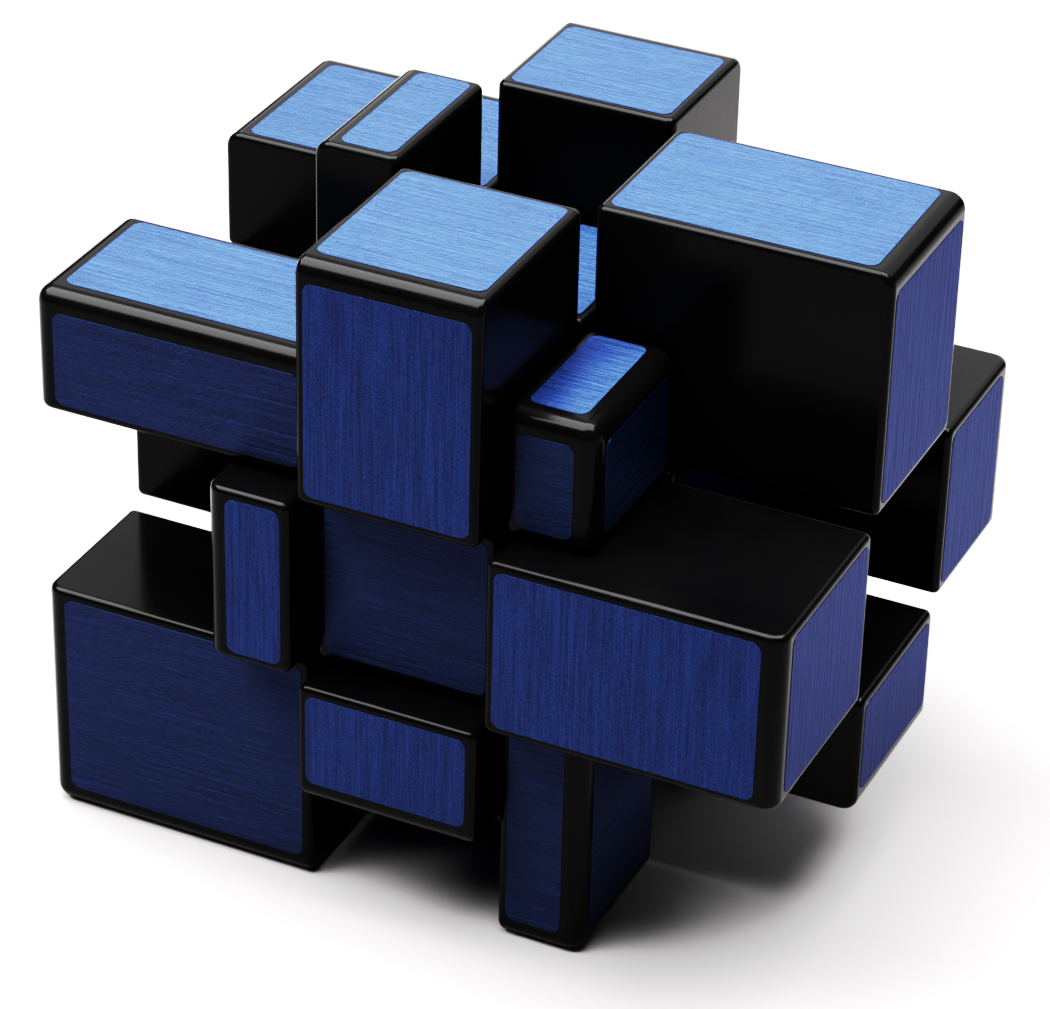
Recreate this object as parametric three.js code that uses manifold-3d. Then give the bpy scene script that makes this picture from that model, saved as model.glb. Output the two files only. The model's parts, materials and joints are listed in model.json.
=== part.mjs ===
// A 3 x 3 x 3 twisty puzzle of the mirror-block kind: all the blocks have one colour and differ in
// size, because the six outer faces lie at six different distances from the core. Every middle
// slice has been given half a turn, so each edge block stands where its opposite one belongs.
//
// Millimetres, +Z up. The origin is at the middle of the bottom, straight under the core's centre.
// +X is the right side, -Y the front.

import * as THREE from 'three';
import { mergeVertices } from 'three/addons/utils/BufferGeometryUtils.js';
import Module from 'manifold-3d';

const wasm = await Module();
wasm.setup();

// ---------------------------------------------------------------- driving dimensions

const MIDDLE_SLICE = 19;              // thickness of the three middle slices
const CUT = MIDDLE_SLICE / 2;         // every cut plane is this far from the core's centre
const FACE = {                        // distance from the core's centre to each face when solved
  x: { low: 38.5, high: 18.5 },       // left, right
  y: { low: 26.5, high: 30.5 },       // front, back
  z: { low: 34.5, high: 22.5 },       // bottom, top
};
const CORE_HEIGHT = FACE.z.low;       // the bottom corners and the bottom cap stand on the ground

const GAP = 0.7;                      // between the flat sides of neighbouring blocks
const FOOT_GAP = 0.3;                 // between the feet inside
const OUTER_EDGE = { radius: 1.6, facets: 3 };   // between two outer faces
const RIM_EDGE = { radius: 0.5, facets: 1 };     // between an outer face and a cut face
const INNER_EDGE = { radius: 0.9, facets: 2 };   // between two cut faces

const UNDERCUT_RADIUS = 18.2;         // inside this sphere the feet reach under their neighbours
const SPHERE_GAP = 0.5;               // between the feet and the blocks over them
const FOOT_CUT = 6;                   // inside the sphere the cut planes are this far out
const NECK_REACH = 13;                // the sharp inner corner of a corner block ends here
const SPHERE_STEPS = 24;

const CORE_RADIUS = 8;
const ARM_RADIUS = 3.6;
const ARM_LENGTH = 10.6;
const PILOT_RADIUS = 1.5;
const PILOT_BOTTOM = 4.5;

const HUB_BOTTOM = 10.9;              // the hub's inner end, measured from the core's centre
const HUB_TOP = 17.0;
const HUB_FLOOR = 1.2;
const WELL_RADIUS = 3.6;
const SCREW_HOLE_RADIUS = 1.6;

const CAP_WALL = 1.5;
const CAP_SOCKET_PLAY = 0.15;
const CAP_ACCESS = 4.2;               // half the width of the hole from the socket into a tall cap

const WASHER_BOTTOM = 15.3;
const WASHER_THICK = 0.3;
const WASHER_RADIUS = 3.0;
const WASHER_HOLE = 1.5;

const SPRING_RADIUS = 2.3;            // to the centre of the wire
const SPRING_WIRE = 0.3;              // the wire's own radius
const SPRING_PLAY = 0.25;
const SPRING_BOTTOM = HUB_BOTTOM + HUB_FLOOR + SPRING_PLAY + SPRING_WIRE;
const SPRING_TOP = WASHER_BOTTOM - SPRING_PLAY - SPRING_WIRE;
const SPRING_TURNS = 2.25;

const SCREW_HEAD_RADIUS = 2.6;
const SCREW_HEAD_BOTTOM = 15.75;
const SCREW_HEAD_TOP = 16.95;
const SCREW_SHANK_RADIUS = 1.25;
const SCREW_END = 5.0;
const DRIVER_SLOT_WIDTH = 0.8;
const DRIVER_SLOT_DEPTH = 0.5;
const ROUND_STEPS = 16;

// ---------------------------------------------------------------- materials

const blackPlastic = new THREE.MeshStandardMaterial({ color: 0x101014, roughness: 0.2, metalness: 0 });
const innerPlastic = new THREE.MeshStandardMaterial({ color: 0x1c1c20, roughness: 0.5, metalness: 0 });
const steel = new THREE.MeshStandardMaterial({ color: 0xb8bcc2, roughness: 0.3, metalness: 1 });

// ---------------------------------------------------------------- solids

function toSolid(geometry) {
  const bare = geometry.clone();
  bare.deleteAttribute('normal');
  bare.deleteAttribute('uv');
  const merged = mergeVertices(bare, 1e-5);
  const vertProperties = new Float32Array(merged.attributes.position.array);
  const triVerts = new Uint32Array(merged.index.array);
  return new wasm.Manifold(new wasm.Mesh({ numProp: 3, vertProperties, triVerts }));
}

function toGeometry(solid) {
  const mesh = solid.getMesh();
  const geometry = new THREE.BufferGeometry();
  geometry.setAttribute('position', new THREE.BufferAttribute(mesh.vertProperties, 3));
  geometry.setIndex(new THREE.BufferAttribute(mesh.triVerts, 1));
  geometry.computeVertexNormals();
  return geometry;
}

// A plain box between two corners.
function boxSolid(low, high) {
  const size = high.map((value, i) => value - low[i]);
  const geometry = new THREE.BoxGeometry(...size);
  geometry.translate(...low.map((value, i) => value + size[i] / 2));
  return toSolid(geometry);
}

// A round solid about +Z from pairs of radius and height.
function turned(profile, steps = ROUND_STEPS) {
  const points = profile.map(([radius, height]) => new THREE.Vector2(radius, height));
  const geometry = new THREE.LatheGeometry(points, steps);
  geometry.rotateX(Math.PI / 2);
  return toSolid(geometry);
}

function cylinder(radius, bottom, top, steps = ROUND_STEPS) {
  return turned([[0, bottom], [radius, bottom], [radius, top], [0, top]], steps);
}

function ball(radius) {
  const rings = SPHERE_STEPS / 2;
  const profile = [];
  for (let i = 0; i <= rings; i += 1) {
    const angle = -Math.PI / 2 + (Math.PI * i) / rings;
    const atPole = i === 0 || i === rings;
    profile.push([atPole ? 0 : radius * Math.cos(angle), radius * Math.sin(angle)]);
  }
  return turned(profile, SPHERE_STEPS);
}

// ---------------------------------------------------------------- blocks

const AXES = ['x', 'y', 'z'];

// The frames that turn an extrusion along its own z into one along x, y or z.
const EXTRUSION_FRAMES = [
  new THREE.Matrix4().makeBasis(
    new THREE.Vector3(0, 1, 0), new THREE.Vector3(0, 0, 1), new THREE.Vector3(1, 0, 0)),
  new THREE.Matrix4().makeBasis(
    new THREE.Vector3(0, 0, 1), new THREE.Vector3(1, 0, 0), new THREE.Vector3(0, 1, 0)),
  new THREE.Matrix4(),
];

function edgeStyle(firstIsOuter, secondIsOuter) {
  if (firstIsOuter && secondIsOuter) {
    return OUTER_EDGE;
  }
  return firstIsOuter || secondIsOuter ? RIM_EDGE : INNER_EDGE;
}

// The points of a quarter round, anticlockwise from the start angle.
function quarterRound(centreU, centreV, { radius, facets }, startAngle) {
  const points = [];
  for (let i = 0; i <= facets; i += 1) {
    const angle = startAngle + (Math.PI / 2) * (i / facets);
    const u = centreU + radius * Math.cos(angle);
    const v = centreV + radius * Math.sin(angle);
    points.push(new THREE.Vector2(u, v));
  }
  return points;
}

// A prism along one axis with its four long edges rounded. outer.low and outer.high say which
// sides of the block are outer faces.
function roundedPrism(axis, low, high, outer) {
  const u = (axis + 1) % 3;
  const v = (axis + 2) % 3;
  const points = [];
  const corners = [
    { uHigh: true, vHigh: true, start: 0 },
    { uHigh: false, vHigh: true, start: Math.PI / 2 },
    { uHigh: false, vHigh: false, start: Math.PI },
    { uHigh: true, vHigh: false, start: (3 * Math.PI) / 2 },
  ];
  for (const { uHigh, vHigh, start } of corners) {
    const uOuter = uHigh ? outer.high[u] : outer.low[u];
    const vOuter = vHigh ? outer.high[v] : outer.low[v];
    const style = edgeStyle(uOuter, vOuter);
    const centreU = uHigh ? high[u] - style.radius : low[u] + style.radius;
    const centreV = vHigh ? high[v] - style.radius : low[v] + style.radius;
    points.push(...quarterRound(centreU, centreV, style, start));
  }
  const depth = high[axis] - low[axis];
  const geometry = new THREE.ExtrudeGeometry(new THREE.Shape(points), { depth, bevelEnabled: false });
  geometry.translate(0, 0, low[axis]);
  geometry.applyMatrix4(EXTRUSION_FRAMES[axis]);
  return toSolid(geometry);
}

// Where the block in a slot lies. A slot is -1, 0 or 1 along each axis. An edge block has come
// from the opposite slot, so its outer faces lie at the opposite faces' distances.
function blockExtent(slot) {
  const isEdge = slot.filter((side) => side === 0).length === 1;
  const low = [];
  const high = [];
  const outer = { low: [], high: [] };
  slot.forEach((side, i) => {
    const home = isEdge ? -side : side;
    const distance = home > 0 ? FACE[AXES[i]].high : FACE[AXES[i]].low;
    const innerLow = side === 0 ? -CUT : CUT;
    const innerHigh = side === 0 ? CUT : -CUT;
    low.push(side < 0 ? -distance : innerLow + GAP / 2);
    high.push(side > 0 ? distance : innerHigh - GAP / 2);
    outer.low.push(side < 0);
    outer.high.push(side > 0);
  });
  return { low, high, outer };
}

function roundedBlock({ low, high, outer }) {
  const prisms = [0, 1, 2].map((axis) => roundedPrism(axis, low, high, outer));
  return prisms[0].intersect(prisms[1]).intersect(prisms[2]);
}

// A box that reaches from one distance to another on the slot's side of each axis, and spans the
// middle on an axis where the slot is 0.
function slotBox(slot, from, to, halfMiddle) {
  const low = slot.map((side) => (side === 0 ? -halfMiddle : Math.min(side * from, side * to)));
  const high = slot.map((side) => (side === 0 ? halfMiddle : Math.max(side * from, side * to)));
  return boxSolid(low, high);
}

const FOOT_HALF = FOOT_CUT - FOOT_GAP / 2;
const footSphere = ball(UNDERCUT_RADIUS - SPHERE_GAP / 2);
const undercutSphere = ball(UNDERCUT_RADIUS + SPHERE_GAP / 2);

function foot(slot) {
  return slotBox(slot, FOOT_CUT + FOOT_GAP / 2, UNDERCUT_RADIUS, FOOT_HALF).intersect(footSphere);
}

// Three outer faces. Its foot hooks under the three edge blocks beside it.
function cornerBlock(slot) {
  const neck = slotBox(slot, CUT + FOOT_GAP / 2, NECK_REACH, 0);
  return roundedBlock(blockExtent(slot)).add(neck).add(foot(slot));
}

// Two outer faces. Corner feet pass under its ends, and its own foot hooks under two centres.
function edgeBlock(slot) {
  const farOut = 2 * UNDERCUT_RADIUS;
  const neckColumn = slotBox(slot, 0, farOut, FOOT_HALF);
  const undercut = undercutSphere.subtract(neckColumn);
  return roundedBlock(blockExtent(slot)).subtract(undercut).add(foot(slot));
}

// ---------------------------------------------------------------- centres
// The pieces of a centre are modelled along +Z from the core's centre and then turned into place.

function centreHub() {
  const stem = boxSolid([-FOOT_HALF, -FOOT_HALF, HUB_BOTTOM], [FOOT_HALF, FOOT_HALF, HUB_TOP]);
  const well = cylinder(WELL_RADIUS, HUB_BOTTOM + HUB_FLOOR, HUB_TOP + 1);
  const screwHole = cylinder(SCREW_HOLE_RADIUS, HUB_BOTTOM - 1, HUB_BOTTOM + HUB_FLOOR + 1);
  return stem.subtract(well).subtract(screwHole);
}

// The cap's outer face is at the given distance. Its underside clears the edge blocks' feet, and
// its socket takes the hub. A tall cap is hollow and opens into the socket.
function centreCap(distance) {
  const half = CUT - GAP / 2;
  const low = [-half, -half, CUT + GAP / 2];
  const high = [half, half, distance];
  const outer = { low: [false, false, false], high: [false, false, true] };
  const block = roundedBlock({ low, high, outer });

  const socketHalf = FOOT_HALF + CAP_SOCKET_PLAY;
  const socketTop = HUB_TOP + CAP_SOCKET_PLAY;
  const socket = boxSolid([-socketHalf, -socketHalf, 0], [socketHalf, socketHalf, socketTop]);
  const column = boxSolid([-socketHalf, -socketHalf, 0], [socketHalf, socketHalf, distance]);
  let cap = block.subtract(undercutSphere.subtract(column)).subtract(socket);

  const hollowHalf = half - CAP_WALL;
  const hollowBottom = UNDERCUT_RADIUS + CAP_WALL;
  const hollowTop = distance - CAP_WALL;
  if (hollowTop - hollowBottom > 1) {
    const hollow = boxSolid(
      [-hollowHalf, -hollowHalf, hollowBottom], [hollowHalf, hollowHalf, hollowTop]);
    const access = boxSolid(
      [-CAP_ACCESS, -CAP_ACCESS, HUB_TOP], [CAP_ACCESS, CAP_ACCESS, hollowBottom + 0.5]);
    cap = cap.subtract(hollow).subtract(access);
  }
  return cap;
}

function washer() {
  const top = WASHER_BOTTOM + WASHER_THICK;
  const disc = cylinder(WASHER_RADIUS, WASHER_BOTTOM, top);
  return disc.subtract(cylinder(WASHER_HOLE, WASHER_BOTTOM - 1, top + 1));
}

function screw() {
  const body = turned([
    [0, SCREW_END],
    [SCREW_SHANK_RADIUS * 0.5, SCREW_END],
    [SCREW_SHANK_RADIUS, SCREW_END + SCREW_SHANK_RADIUS],
    [SCREW_SHANK_RADIUS, SCREW_HEAD_BOTTOM],
    [SCREW_HEAD_RADIUS, SCREW_HEAD_BOTTOM],
    [SCREW_HEAD_RADIUS, SCREW_HEAD_TOP - 0.3],
    [SCREW_HEAD_RADIUS - 0.4, SCREW_HEAD_TOP],
    [0, SCREW_HEAD_TOP],
  ]);
  const halfLong = SCREW_HEAD_RADIUS * 0.65;
  const halfWide = DRIVER_SLOT_WIDTH / 2;
  const slotBottom = SCREW_HEAD_TOP - DRIVER_SLOT_DEPTH;
  const slotAcross = boxSolid([-halfLong, -halfWide, slotBottom], [halfLong, halfWide, SCREW_HEAD_TOP + 1]);
  const slotAlong = boxSolid([-halfWide, -halfLong, slotBottom], [halfWide, halfLong, SCREW_HEAD_TOP + 1]);
  return body.subtract(slotAcross).subtract(slotAlong);
}

class SpringLine extends THREE.Curve {
  getPoint(t, target = new THREE.Vector3()) {
    const angle = 2 * Math.PI * SPRING_TURNS * t;
    const height = SPRING_BOTTOM + (SPRING_TOP - SPRING_BOTTOM) * t;
    return target.set(SPRING_RADIUS * Math.cos(angle), SPRING_RADIUS * Math.sin(angle), height);
  }
}

function spring() {
  const section = [];
  for (let i = 0; i < 6; i += 1) {
    const angle = (Math.PI / 3) * i;
    section.push(new THREE.Vector2(SPRING_WIRE * Math.cos(angle), SPRING_WIRE * Math.sin(angle)));
  }
  const geometry = new THREE.ExtrudeGeometry(new THREE.Shape(section), {
    steps: Math.round(10 * SPRING_TURNS),
    extrudePath: new SpringLine(),
    bevelEnabled: false,
  });
  return toSolid(geometry);
}

// ---------------------------------------------------------------- core

const CENTRES = [
  { name: 'right', direction: [1, 0, 0], distance: FACE.x.high },
  { name: 'left', direction: [-1, 0, 0], distance: FACE.x.low },
  { name: 'back', direction: [0, 1, 0], distance: FACE.y.high },
  { name: 'front', direction: [0, -1, 0], distance: FACE.y.low },
  { name: 'top', direction: [0, 0, 1], distance: FACE.z.high },
  { name: 'bottom', direction: [0, 0, -1], distance: FACE.z.low },
];

function turnTo(direction) {
  return new THREE.Quaternion().setFromUnitVectors(
    new THREE.Vector3(0, 0, 1), new THREE.Vector3(...direction));
}

// A ball with six arms, each with a pilot hole for its screw.
function coreSpider() {
  const arm = cylinder(ARM_RADIUS, 0, ARM_LENGTH);
  const pilot = cylinder(PILOT_RADIUS, PILOT_BOTTOM, ARM_LENGTH + 1, 12);
  let core = ball(CORE_RADIUS);
  const placed = CENTRES.map(({ direction }) => {
    const matrix = new THREE.Matrix4().makeRotationFromQuaternion(turnTo(direction));
    return { arm: arm.transform(matrix.elements), pilot: pilot.transform(matrix.elements) };
  });
  for (const { arm: armSolid } of placed) {
    core = core.add(armSolid);
  }
  for (const { pilot: pilotSolid } of placed) {
    core = core.subtract(pilotSolid);
  }
  return core;
}

// ---------------------------------------------------------------- assembly

const puzzle = new THREE.Group();
puzzle.position.set(0, 0, CORE_HEIGHT);

function addPiece(parent, name, solid, material) {
  const mesh = new THREE.Mesh(toGeometry(solid), material);
  mesh.name = name;
  parent.add(mesh);
}

const SIDE_NAMES = [
  { low: 'left', high: 'right' },
  { low: 'front', high: 'back' },
  { low: 'bottom', high: 'top' },
];

// For example top_front_left_corner or back_right_edge.
function blockName(slot) {
  const words = [2, 1, 0]
    .filter((axis) => slot[axis] !== 0)
    .map((axis) => (slot[axis] < 0 ? SIDE_NAMES[axis].low : SIDE_NAMES[axis].high));
  words.push(words.length === 3 ? 'corner' : 'edge');
  return words.join('_');
}

for (const x of [-1, 0, 1]) {
  for (const y of [-1, 0, 1]) {
    for (const z of [-1, 0, 1]) {
      const slot = [x, y, z];
      const outerFaces = slot.filter((side) => side !== 0).length;
      if (outerFaces === 3) {
        addPiece(puzzle, blockName(slot), cornerBlock(slot), blackPlastic);
      }
      if (outerFaces === 2) {
        addPiece(puzzle, blockName(slot), edgeBlock(slot), blackPlastic);
      }
    }
  }
}

addPiece(puzzle, 'core_spider', coreSpider(), innerPlastic);

for (const { name, direction, distance } of CENTRES) {
  const centre = new THREE.Group();
  centre.quaternion.copy(turnTo(direction));
  addPiece(centre, `${name}_centre_cap`, centreCap(distance), blackPlastic);
  addPiece(centre, `${name}_centre_hub`, centreHub(), innerPlastic);
  addPiece(centre, `${name}_spring`, spring(), steel);
  addPiece(centre, `${name}_washer`, washer(), steel);
  addPiece(centre, `${name}_screw`, screw(), steel);
  puzzle.add(centre);
}

export default puzzle;
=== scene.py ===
"""A twisty puzzle of mirror blocks: glossy black blocks with brushed blue foil labels.

Every outer block is remade here with fine rounded edges around its CAD node, and gets a foil label
on each outer face. The core, hubs, screws, springs and washers stay as their CAD nodes.
Lengths are in metres.
"""

import json
import math

import bmesh
import bpy
from mathutils import Matrix, Quaternion, Vector


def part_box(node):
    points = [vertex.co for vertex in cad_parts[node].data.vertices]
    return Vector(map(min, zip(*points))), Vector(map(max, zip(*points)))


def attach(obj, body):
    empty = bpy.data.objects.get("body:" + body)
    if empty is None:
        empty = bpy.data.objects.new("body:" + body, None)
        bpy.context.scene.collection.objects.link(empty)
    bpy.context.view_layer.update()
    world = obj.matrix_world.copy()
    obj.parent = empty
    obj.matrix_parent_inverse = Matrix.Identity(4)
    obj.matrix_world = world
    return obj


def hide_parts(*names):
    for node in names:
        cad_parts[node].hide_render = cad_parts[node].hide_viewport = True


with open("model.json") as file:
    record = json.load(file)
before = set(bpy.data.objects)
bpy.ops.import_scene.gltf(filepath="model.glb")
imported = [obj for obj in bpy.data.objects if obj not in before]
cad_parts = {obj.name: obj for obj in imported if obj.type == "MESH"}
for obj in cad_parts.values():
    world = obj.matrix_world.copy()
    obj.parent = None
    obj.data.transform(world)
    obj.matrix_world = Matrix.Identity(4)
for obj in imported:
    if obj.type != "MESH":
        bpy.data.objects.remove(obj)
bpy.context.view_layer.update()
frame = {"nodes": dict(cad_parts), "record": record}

MM = 0.001

# ---------------------------------------------------------------- sizes

MIDDLE_SLICE = 19 * MM
CUT = MIDDLE_SLICE / 2

OUTER_ROUND = 1.6 * MM      # an edge between two outer faces
INNER_ROUND = 0.9 * MM      # an edge between two cut faces
RIM_ROUND = 0.65 * MM       # the loop between the outer faces and the cut faces
OUTER_STEPS = 8
INNER_STEPS = 5
RIM_STEPS = 4
RIM_ANGLE = math.radians(60)  # the rim is where two faces still meet at more than this
ALONG_AXIS = 0.99           # the cosine from which a normal counts as lying along an axis

FOOT_CUT = 6 * MM
FOOT_GAP = 0.3 * MM
FOOT_START = FOOT_CUT + FOOT_GAP / 2
FOOT_HALF = FOOT_CUT - FOOT_GAP / 2
FOOT_RADIUS = 17.95 * MM
UNDERCUT_RADIUS = 18.45 * MM
BALL_SUBDIVISIONS = 4
NECK_START = CUT + FOOT_GAP / 2
NECK_REACH = 13 * MM

CAP_WALL = 1.5 * MM
CAP_SOCKET_PLAY = 0.15 * MM
CAP_SOCKET_HALF = FOOT_HALF + CAP_SOCKET_PLAY
CAP_ACCESS = 4.2 * MM
CAP_HOLLOW_BOTTOM = (UNDERCUT_RADIUS + FOOT_RADIUS) / 2 + CAP_WALL
CAP_HOLLOW_LEAST = 1 * MM
CAP_HOLLOW_OVERLAP = 0.5 * MM

LABEL_THICK = 0.05 * MM
LABEL_SUNK = 0.02 * MM
LABEL_CORNER = 0.95 * MM
LABEL_OUTER_MARGIN = 2.1 * MM
LABEL_CUT_MARGIN = 0.9 * MM
LABEL_EDGE = 0.02 * MM
LABEL_EDGE_BEND = 0.3       # where the middle ring of the rounded edge lies, as a share of it
LABEL_CORNER_STEPS = 8
LABEL_LEVELS = (            # each ring's height over the face, and how far it is drawn in
    (-LABEL_SUNK, 0),
    (LABEL_THICK - LABEL_EDGE, 0),
    (LABEL_THICK - LABEL_EDGE * LABEL_EDGE_BEND, LABEL_EDGE * LABEL_EDGE_BEND),
    (LABEL_THICK, LABEL_EDGE),
)

BLOCK_SHARP_ANGLE = math.radians(30)
LABEL_SHARP_ANGLE = math.radians(50)

AXES = (0, 1, 2)
SIDES = {
    "left": (0, -1), "right": (0, 1),
    "front": (1, -1), "back": (1, 1),
    "bottom": (2, -1), "top": (2, 1),
}
FACE_NAMES = {place: name for name, place in SIDES.items()}
BODY_OF = {
    node: body
    for body, nodes in frame["record"]["behaviour"]["bodies"].items()
    for node in nodes
}

core_low, core_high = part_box("core_spider")
CORE = (core_low + core_high) / 2
cap_low, cap_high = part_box("top_centre_cap")
HALF_BLOCK = (cap_high.x - cap_low.x) / 2
CUT_FACE = 2 * CUT - HALF_BLOCK          # where a block beyond the cut plane begins


# ---------------------------------------------------------------- mesh helpers

def new_object(name, bm):
    mesh = bpy.data.meshes.new(name)
    bm.to_mesh(mesh)
    bm.free()
    made = bpy.data.objects.new(name, mesh)
    bpy.context.scene.collection.objects.link(made)
    return made


def discard(thing):
    mesh = thing.data
    bpy.data.objects.remove(thing)
    bpy.data.meshes.remove(mesh)


def box_bmesh(low, high):
    bm = bmesh.new()
    bmesh.ops.create_cube(bm, size=1)
    size = high - low
    middle = (low + high) / 2
    bm.transform(Matrix.Translation(middle) @ Matrix.Diagonal((*size, 1)))
    bm.normal_update()
    return bm


def ball_object(radius):
    bm = bmesh.new()
    bmesh.ops.create_icosphere(bm, subdivisions=BALL_SUBDIVISIONS, radius=radius)
    bm.transform(Matrix.Translation(CORE))
    return new_object("ball", bm)


def combine(target, other, operation):
    """Joins, cuts or intersects target with other, and discards other."""
    modifier = target.modifiers.new("combine", "BOOLEAN")
    modifier.object = other
    modifier.operation = operation
    modifier.solver = "EXACT"
    depsgraph = bpy.context.evaluated_depsgraph_get()
    made = bpy.data.meshes.new_from_object(target.evaluated_get(depsgraph))
    target.modifiers.clear()
    old = target.data
    target.data = made
    bpy.data.meshes.remove(old)
    discard(other)
    return target


def smooth(piece, sharp_angle):
    """Smooth shading that keeps flat faces flat and edges past the angle sharp."""
    piece.data.shade_smooth()
    piece.data.set_sharp_from_angle(angle=sharp_angle)
    weighted = piece.modifiers.new("flat_faces", "WEIGHTED_NORMAL")
    weighted.keep_sharp = True


# ---------------------------------------------------------------- blocks

def slot_of(node):
    """The side of the core a block stands on along each axis: -1, 0 or 1, read from its name."""
    slot = [0, 0, 0]
    for word in node.split("_"):
        if word in SIDES:
            axis, side = SIDES[word]
            slot[axis] = side
    return slot


def extent_of(node):
    """The corners of a block's outer box, without its foot."""
    box_low, box_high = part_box(node)
    low, high = Vector(), Vector()
    for axis, side in enumerate(slot_of(node)):
        middle = CORE[axis]
        low[axis] = box_low[axis] if side < 0 else middle + (CUT_FACE if side > 0 else -HALF_BLOCK)
        high[axis] = box_high[axis] if side > 0 else middle + (-CUT_FACE if side < 0 else HALF_BLOCK)
    return low, high


def reach_of(low, high, axis):
    """How far a box reaches from the core along an axis."""
    return max(abs(low[axis] - CORE[axis]), abs(high[axis] - CORE[axis]))


def is_outer(normal, slot):
    return any(slot[axis] * normal[axis] > ALONG_AXIS for axis in AXES)


def is_flat_cut(normal, slot):
    aligned = any(abs(normal[axis]) > ALONG_AXIS for axis in AXES)
    return aligned and not is_outer(normal, slot)


def bevel(bm, edges, radius, steps):
    bmesh.ops.bevel(
        bm, geom=edges, offset=radius, offset_type="OFFSET", segments=steps,
        profile=0.5, affect="EDGES", clamp_overlap=False,
    )
    bm.normal_update()


def edges_where(bm, test):
    """The edges between two faces whose normals pass the test."""
    return [e for e in bm.edges if len(e.link_faces) == 2 and test(*(f.normal for f in e.link_faces))]


def rounded_block(name, slot, low, high):
    """A box whose outer edges, inner edges and rim have their own roundings."""
    bm = box_bmesh(low, high)
    outer = edges_where(bm, lambda a, b: is_outer(a, slot) and is_outer(b, slot))
    if outer:
        bevel(bm, outer, OUTER_ROUND, OUTER_STEPS)
    inner = edges_where(bm, lambda a, b: is_flat_cut(a, slot) and is_flat_cut(b, slot))
    bevel(bm, inner, INNER_ROUND, INNER_STEPS)
    rim = edges_where(bm, lambda a, b: a.angle(b) > RIM_ANGLE)
    bevel(bm, rim, RIM_ROUND, RIM_STEPS)
    return new_object(name, bm)


def slot_box(slot, near, far, half_middle):
    """A box from near to far on the slot's side of each axis, spanning the middle where it is 0."""
    low, high = Vector(), Vector()
    for axis, side in enumerate(slot):
        ends = (-half_middle, half_middle) if side == 0 else sorted((side * near, side * far))
        low[axis] = CORE[axis] + ends[0]
        high[axis] = CORE[axis] + ends[1]
    return new_object("box", box_bmesh(low, high))


def foot(slot):
    """What hooks a block under its neighbours, rounded to the ball it turns in."""
    block = slot_box(slot, FOOT_START, FOOT_RADIUS, FOOT_HALF)
    return combine(block, ball_object(FOOT_RADIUS), "INTERSECT")


def undercut(slot, half_column):
    """The ball that neighbouring feet sweep, without the column that holds the block's own foot."""
    column = slot_box(slot, 0, 2 * UNDERCUT_RADIUS, half_column)
    return combine(ball_object(UNDERCUT_RADIUS), column, "DIFFERENCE")


def corner_block(node):
    slot = slot_of(node)
    block = rounded_block(node + "_block", slot, *extent_of(node))
    combine(block, slot_box(slot, NECK_START, NECK_REACH, 0), "UNION")
    return combine(block, foot(slot), "UNION")


def edge_block(node):
    slot = slot_of(node)
    block = rounded_block(node + "_block", slot, *extent_of(node))
    combine(block, undercut(slot, FOOT_HALF), "DIFFERENCE")
    return combine(block, foot(slot), "UNION")


def cap_block(node):
    """A centre cap: its socket takes the hub, and a tall cap is hollow."""
    slot = slot_of(node)
    axis = next(a for a in AXES if slot[a] != 0)
    low, high = extent_of(node)
    hub_top = reach_of(*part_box(node.replace("_cap", "_hub")), axis)
    hollow_top = reach_of(low, high, axis) - CAP_WALL
    hollow_half = HALF_BLOCK - CAP_WALL
    access_top = CAP_HOLLOW_BOTTOM + CAP_HOLLOW_OVERLAP

    cap = rounded_block(node + "_shell", slot, low, high)
    combine(cap, undercut(slot, CAP_SOCKET_HALF), "DIFFERENCE")
    combine(cap, slot_box(slot, 0, hub_top + CAP_SOCKET_PLAY, CAP_SOCKET_HALF), "DIFFERENCE")
    if hollow_top - CAP_HOLLOW_BOTTOM > CAP_HOLLOW_LEAST:
        combine(cap, slot_box(slot, CAP_HOLLOW_BOTTOM, hollow_top, hollow_half), "DIFFERENCE")
        combine(cap, slot_box(slot, hub_top, access_top, CAP_ACCESS), "DIFFERENCE")
    return cap


# ---------------------------------------------------------------- labels

def label_outline(half_u, half_v, corner):
    """A rounded rectangle about the origin, anticlockwise."""
    points = []
    for turn in range(4):
        sign_u = 1 if turn in (0, 3) else -1
        sign_v = 1 if turn in (0, 1) else -1
        for step in range(LABEL_CORNER_STEPS + 1):
            angle = math.pi / 2 * (turn + step / LABEL_CORNER_STEPS)
            u = sign_u * (half_u - corner) + corner * math.cos(angle)
            v = sign_v * (half_v - corner) + corner * math.sin(angle)
            points.append((u, v))
    return points


def label_area(node, axis):
    """The corners of the area a label takes on a face across axis, inside its margins."""
    slot = slot_of(node)
    low, high = extent_of(node)
    for other in AXES:
        if other != axis:
            low[other] += LABEL_OUTER_MARGIN if slot[other] < 0 else LABEL_CUT_MARGIN
            high[other] -= LABEL_OUTER_MARGIN if slot[other] > 0 else LABEL_CUT_MARGIN
    return low, high


def label_ring(bm, node, axis, side, height, inset):
    """One ring of a label's vertices, at a height over the face and drawn in by the inset."""
    low, high = label_area(node, axis)
    u_axis, v_axis = (axis + 1) % 3, (axis + 2) % 3
    half_u = (high[u_axis] - low[u_axis]) / 2
    half_v = (high[v_axis] - low[v_axis]) / 2
    face = high[axis] if side > 0 else low[axis]
    ring = []
    for u, v in label_outline(half_u - inset, half_v - inset, LABEL_CORNER - inset):
        place = (low + high) / 2
        place[u_axis] += u
        place[v_axis] += v
        place[axis] = face + side * height
        ring.append(bm.verts.new(place))
    return ring


def skin(bm, rings):
    """Closes a stack of rings into a solid, with a face over the last and one under the first."""
    for below, above in zip(rings, rings[1:]):
        for i in range(len(below)):
            j = (i + 1) % len(below)
            bm.faces.new((below[i], below[j], above[j], above[i]))
    bm.faces.new(rings[-1])
    bm.faces.new(list(reversed(rings[0])))
    bmesh.ops.recalc_face_normals(bm, faces=bm.faces)


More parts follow.
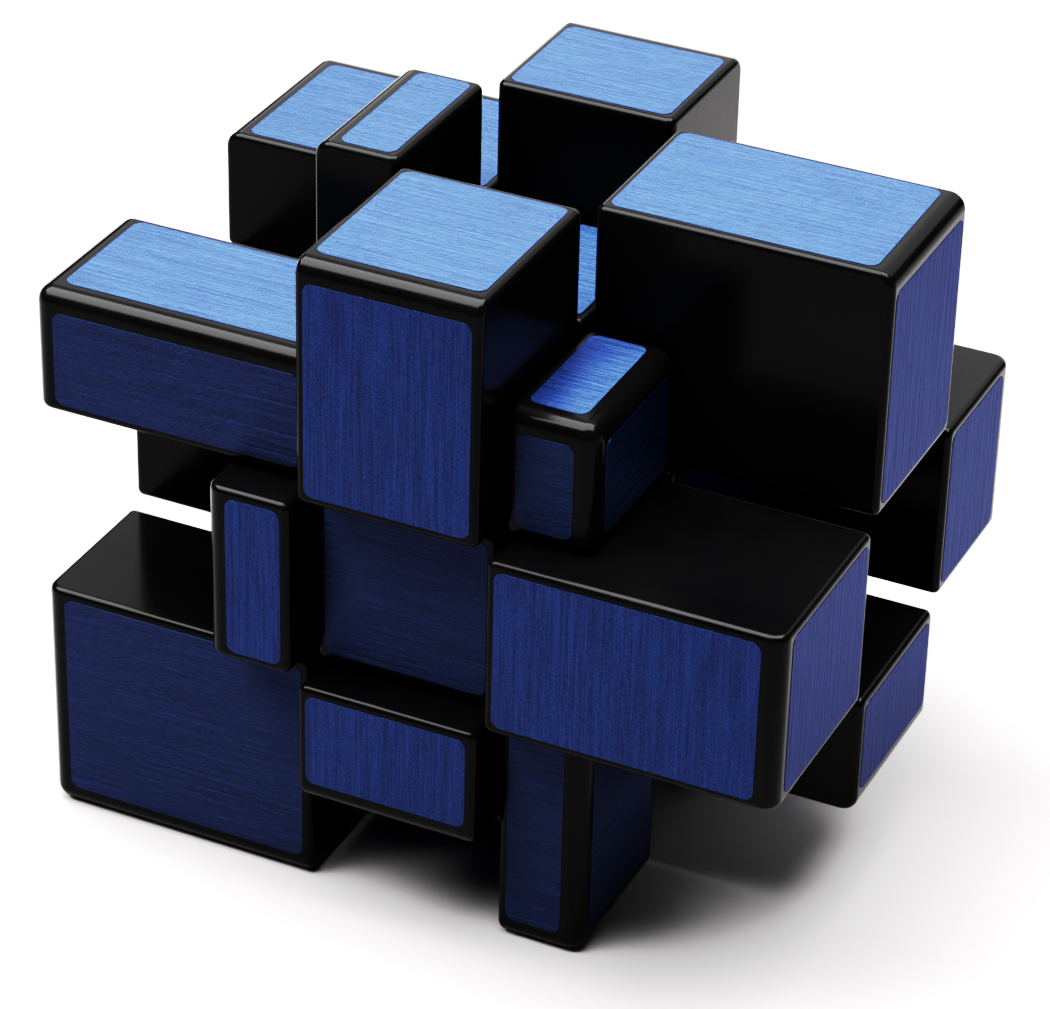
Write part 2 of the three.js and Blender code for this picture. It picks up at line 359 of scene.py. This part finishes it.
def lay_across(bm, direction):
    """A UV map whose first axis runs across the brush lines, for the foil's stretched highlights."""
    layer = bm.loops.layers.uv.new("across")
    for face in bm.faces:
        normal_axis = max(AXES, key=lambda a: abs(face.normal[a]))
        across = next((a for a in AXES if a not in (direction, normal_axis)), direction)
        for loop in face.loops:
            loop[layer].uv = (loop.vert.co[across], loop.vert.co[direction])


def label(node, axis, side, direction):
    """A thin foil label on one outer face of a block, brushed along direction."""
    bm = bmesh.new()
    rings = [label_ring(bm, node, axis, side, height, inset) for height, inset in LABEL_LEVELS]
    skin(bm, rings)
    lay_across(bm, direction)
    made = new_object(f"{node}_{FACE_NAMES[(axis, side)]}_label", bm)
    smooth(made, LABEL_SHARP_ANGLE)
    return made


# ---------------------------------------------------------------- material helpers

def new_material(name):
    material = bpy.data.materials.new(name)
    material.use_nodes = True
    nodes = material.node_tree.nodes
    return material, nodes, material.node_tree.links, nodes["Principled BSDF"]


def add(nodes, kind, **settings):
    node = nodes.new(kind)
    for name, value in settings.items():
        setattr(node, name, value)
    return node


def noise(nodes, links, scale, detail, stretch=(1, 1, 1)):
    """Noise over the piece's own coordinates, drawn out along the axes whose stretch is under 1."""
    place = add(nodes, "ShaderNodeTexCoord")
    mapping = add(nodes, "ShaderNodeMapping")
    mapping.inputs["Scale"].default_value = stretch
    texture = add(nodes, "ShaderNodeTexNoise")
    texture.inputs["Scale"].default_value = scale
    texture.inputs["Detail"].default_value = detail
    links.new(place.outputs["Object"], mapping.inputs["Vector"])
    links.new(mapping.outputs["Vector"], texture.inputs["Vector"])
    return texture.outputs["Fac"]


def ramp(nodes, links, source, first, last, start=0.3, end=0.7):
    """A colour from first to last, as the source goes from start to end."""
    node = add(nodes, "ShaderNodeValToRGB")
    for element, position, colour in zip(node.color_ramp.elements, (start, end), (first, last)):
        element.position = position
        element.color = (*colour, 1)
    links.new(source, node.inputs["Fac"])
    return node.outputs["Color"]


def remap(nodes, links, source, low, high, start=0.3, end=0.7):
    """A value from low to high, as the source goes from start to end."""
    node = add(nodes, "ShaderNodeMapRange")
    node.inputs["From Min"].default_value = start
    node.inputs["From Max"].default_value = end
    node.inputs["To Min"].default_value = low
    node.inputs["To Max"].default_value = high
    links.new(source, node.inputs["Value"])
    return node.outputs["Result"]


def bump(nodes, links, source, distance, strength, before=None):
    node = add(nodes, "ShaderNodeBump")
    node.inputs["Distance"].default_value = distance
    node.inputs["Strength"].default_value = strength
    links.new(source, node.inputs["Height"])
    if before is not None:
        links.new(before, node.inputs["Normal"])
    return node.outputs["Normal"]


def blend(nodes, links, first, second, factor):
    node = add(nodes, "ShaderNodeMix", data_type="FLOAT")
    node.inputs["Factor"].default_value = factor
    links.new(first, node.inputs["A"])
    links.new(second, node.inputs["B"])
    return node.outputs["Result"]


# ---------------------------------------------------------------- materials

GLOSS_CLEAN = (0.0008, 0.0008, 0.001)
GLOSS_HAZY = (0.0018, 0.0017, 0.0018)
SATIN_DARK = (0.012, 0.012, 0.013)
SATIN_LIGHT = (0.02, 0.02, 0.021)
ZINC_DARK = (0.42, 0.43, 0.45)
ZINC_LIGHT = (0.62, 0.63, 0.65)

FOIL_DARK = (0.002, 0.0051, 0.021)
FOIL_LIGHT = (0.0125, 0.0295, 0.094)
FOIL_EDGE_TINT = (0.6, 0.615, 0.87, 1)
LINE_SCALE = 6000         # brush lines about a sixth of a millimetre wide
LINE_STRETCH = 40         # and some forty times as long
SCRATCH_SCALE = 2200      # deeper, wider lines between them
SCRATCH_STRETCH = 25
SCRATCH_SHARE = 0.45
GRAIN_SCALE = 6000        # the foil's own sparkle
GRAIN_SHARE = 0.58


def gloss_black():
    """Polished black ABS with a faint orange peel and handling haze."""
    material, nodes, links, shader = new_material("gloss_black_plastic")
    haze = noise(nodes, links, scale=90, detail=4)
    peel = noise(nodes, links, scale=700, detail=2)
    colour = ramp(nodes, links, haze, GLOSS_CLEAN, GLOSS_HAZY, end=0.75)
    links.new(colour, shader.inputs["Base Color"])
    links.new(remap(nodes, links, haze, low=0.15, high=0.21), shader.inputs["Roughness"])
    links.new(bump(nodes, links, peel, distance=0.03 * MM, strength=0.15), shader.inputs["Normal"])
    shader.inputs["Specular IOR Level"].default_value = 0.055
    return material


def satin_black():
    """The plain black plastic of the inner parts."""
    material, nodes, links, shader = new_material("satin_black_plastic")
    grain = noise(nodes, links, scale=1500, detail=3)
    links.new(ramp(nodes, links, grain, SATIN_DARK, SATIN_LIGHT), shader.inputs["Base Color"])
    links.new(remap(nodes, links, grain, low=0.4, high=0.55), shader.inputs["Roughness"])
    links.new(bump(nodes, links, grain, distance=0.03 * MM, strength=0.3), shader.inputs["Normal"])
    return material


def zinc_steel():
    """Zinc-plated steel of the screws, springs and washers."""
    material, nodes, links, shader = new_material("zinc_steel")
    mottle = noise(nodes, links, scale=2500, detail=4)
    links.new(ramp(nodes, links, mottle, ZINC_DARK, ZINC_LIGHT), shader.inputs["Base Color"])
    links.new(remap(nodes, links, mottle, low=0.22, high=0.38), shader.inputs["Roughness"])
    links.new(bump(nodes, links, mottle, distance=0.01 * MM, strength=0.3), shader.inputs["Normal"])
    shader.inputs["Metallic"].default_value = 1
    return material


def stretched(direction, times):
    """The noise scale that draws the pattern out along one axis."""
    return [1 / times if axis == direction else 1.0 for axis in AXES]


def brushed_blue(home, direction, tone):
    """Deep blue metallic foil, brushed along one axis, under a clear satin film. The tone scales its
    colour as painted light and shade for the face it belongs to.
    """
    material, nodes, links, shader = new_material("brushed_blue_foil_painted_light_" + home)
    # The tone brightens or darkens the colour as painted light and shade for the face.
    dark = tuple(tone * value for value in FOIL_DARK)
    light = tuple(tone * value for value in FOIL_LIGHT)
    fine = noise(nodes, links, LINE_SCALE, detail=2, stretch=stretched(direction, LINE_STRETCH))
    scratches = noise(nodes, links, SCRATCH_SCALE, detail=3, stretch=stretched(direction, SCRATCH_STRETCH))
    grain = noise(nodes, links, GRAIN_SCALE, detail=3)
    lines = blend(nodes, links, fine, scratches, SCRATCH_SHARE)
    speckled = blend(nodes, links, lines, grain, GRAIN_SHARE)
    colour = ramp(nodes, links, speckled, dark, light, start=0.33, end=0.67)
    relief = bump(nodes, links, scratches, distance=0.15 * MM, strength=1)
    relief = bump(nodes, links, fine, distance=0.05 * MM, strength=1, before=relief)
    relief = bump(nodes, links, grain, distance=0.02 * MM, strength=1, before=relief)
    tangent = add(nodes, "ShaderNodeTangent", direction_type="UV_MAP", uv_map="across")
    links.new(colour, shader.inputs["Base Color"])
    links.new(remap(nodes, links, grain, low=0.33, high=0.41), shader.inputs["Roughness"])
    links.new(relief, shader.inputs["Normal"])
    links.new(tangent.outputs["Tangent"], shader.inputs["Tangent"])
    shader.inputs["Metallic"].default_value = 0.75
    shader.inputs["Specular IOR Level"].default_value = 0.5
    shader.inputs["Specular Tint"].default_value = FOIL_EDGE_TINT
    shader.inputs["Anisotropic"].default_value = 0.95
    return material


GLOSS_BLACK = gloss_black()
SATIN_BLACK = satin_black()
ZINC_STEEL = zinc_steel()

# The foil of each face of the solved puzzle: the axis it is brushed along, and its tone. The tone is
# painted light and shade: it brightens the foil's colour on the top and bottom faces and darkens it on the
# other faces, darkest on the front, in place of how the lamps light each face.
FOIL_OF_FACE = {
    "top": (0, 1.3), "bottom": (0, 1.3),
    "front": (0, 0.5), "back": (2, 0.96),
    "right": (1, 0.9), "left": (2, 0.8),
}
BRUSHED_BLUE = {home: brushed_blue(home, *foil) for home, foil in FOIL_OF_FACE.items()}


def home_face(node, axis, side):
    """The face a label belongs to when solved. Each edge block stands opposite its home."""
    home = -side if node.endswith("_edge") else side
    return FACE_NAMES[(axis, home)]


# ---------------------------------------------------------------- the object

MAKERS = {"corner": corner_block, "edge": edge_block, "cap": cap_block}
STEEL_KINDS = ("screw", "spring", "washer")


def finish_piece(piece, node, material):
    piece.data.materials.clear()
    piece.data.materials.append(material)
    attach(piece, BODY_OF[node])


def build_labels(node):
    for axis, side in enumerate(slot_of(node)):
        if side != 0:
            home = home_face(node, axis, side)
            direction = FOIL_OF_FACE[home][0]
            foil = label(node, axis, side, direction)
            finish_piece(foil, node, BRUSHED_BLUE[home])


def build_block(node, maker):
    """An outer block in place of its CAD node, with its labels."""
    block = maker(node)
    smooth(block, BLOCK_SHARP_ANGLE)
    finish_piece(block, node, GLOSS_BLACK)
    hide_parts(node)
    build_labels(node)


def dress_inner_part(node, kind):
    """An inner part stays as its CAD node, and gets its material."""
    cad = frame["nodes"][node]
    cad.data.materials.clear()
    cad.data.materials.append(ZINC_STEEL if kind in STEEL_KINDS else SATIN_BLACK)


def build_puzzle():
    for node in sorted(frame["nodes"]):
        kind = node.split("_")[-1]
        if kind in MAKERS:
            build_block(node, MAKERS[kind])
        else:
            dress_inner_part(node, kind)


# ---------------------------------------------------------------- floor, lights, camera

FLOOR_SIZE = 3
FLOOR_DARK = (0.212, 0.203, 0.205)
FLOOR_LIGHT = (0.222, 0.213, 0.215)
SKY_STRENGTH = 0.08

CAMERA_AZIMUTH = math.radians(24.8)
CAMERA_ELEVATION = math.radians(31.2)
CAMERA_ROLL = math.radians(1.43)
CAMERA_DISTANCE = 401.6 * MM
CAMERA_AIM = Vector((0.4, -1.9, -3.1)) * MM      # from the core's centre
CAMERA_LENS = 143.7
CAMERA_SENSOR = 36
CAMERA_CLIP_START = 10 * MM

# Scene brightness against film brightness: straight in the shadows, with a soft shoulder to white.
FILM_WHITE = 2.4
FILM_CURVE = ((0.12, 0.12), (0.4, 0.46), (0.65, 0.65), (1.2, 0.79), (1.7, 0.88))
FILM_CONTRAST = 0.65
ALL_CHANNELS = 3          # the curve that acts on red, green and blue together


def floor():
    bm = bmesh.new()
    bmesh.ops.create_grid(bm, x_segments=1, y_segments=1, size=FLOOR_SIZE)
    bm.transform(Matrix.Translation((0, 0, -LABEL_THICK)))
    plane = new_object("floor", bm)
    material, nodes, links, shader = new_material("pale_floor")
    tone = noise(nodes, links, scale=8, detail=3)
    links.new(ramp(nodes, links, tone, FLOOR_DARK, FLOOR_LIGHT), shader.inputs["Base Color"])
    shader.inputs["Roughness"].default_value = 0.75
    plane.data.materials.append(material)


def area_light(name, place, size, watts):
    """A softbox at place, aimed at the core. Its size is its width and its height."""
    data = bpy.data.lights.new(name, "AREA")
    data.shape = "RECTANGLE"
    data.size, data.size_y = size
    data.energy = watts
    made = bpy.data.objects.new(name, data)
    made.location = place
    made.rotation_euler = (CORE - Vector(place)).to_track_quat("-Z", "Y").to_euler()
    bpy.context.scene.collection.objects.link(made)


def lights():
    area_light("backdrop", place=(-0.1, 0.9, 0.6), size=(1.3, 1.3), watts=26)
    area_light("key", place=(-0.12, -0.05, 0.78), size=(0.7, 1.4), watts=156)
    world = bpy.data.worlds.new("studio")
    world.use_nodes = True
    background = world.node_tree.nodes["Background"]
    background.inputs["Color"].default_value = (1, 1, 1, 1)
    background.inputs["Strength"].default_value = SKY_STRENGTH
    bpy.context.scene.world = world


def camera():
    forward = Vector((
        -math.sin(CAMERA_AZIMUTH) * math.cos(CAMERA_ELEVATION),
        math.cos(CAMERA_AZIMUTH) * math.cos(CAMERA_ELEVATION),
        -math.sin(CAMERA_ELEVATION),
    ))
    data = bpy.data.cameras.new("camera")
    data.lens = CAMERA_LENS
    data.sensor_width = CAMERA_SENSOR
    data.clip_start = CAMERA_CLIP_START
    made = bpy.data.objects.new("camera", data)
    made.location = CORE + CAMERA_AIM - forward * CAMERA_DISTANCE
    made.rotation_mode = "QUATERNION"
    made.rotation_quaternion = forward.to_track_quat("-Z", "Y") @ Quaternion((0, 0, 1), CAMERA_ROLL)
    bpy.context.scene.collection.objects.link(made)
    bpy.context.scene.camera = made


def film_response():
    view = bpy.context.scene.view_settings
    view.view_transform = "Standard"
    view.gamma = FILM_CONTRAST
    view.use_curve_mapping = True
    mapping = view.curve_mapping
    mapping.white_level = (FILM_WHITE, FILM_WHITE, FILM_WHITE)
    for brightness, response in FILM_CURVE:
        mapping.curves[ALL_CHANNELS].points.new(brightness / FILM_WHITE, response)
    mapping.update()


build_puzzle()
floor()
lights()
camera()
film_response()
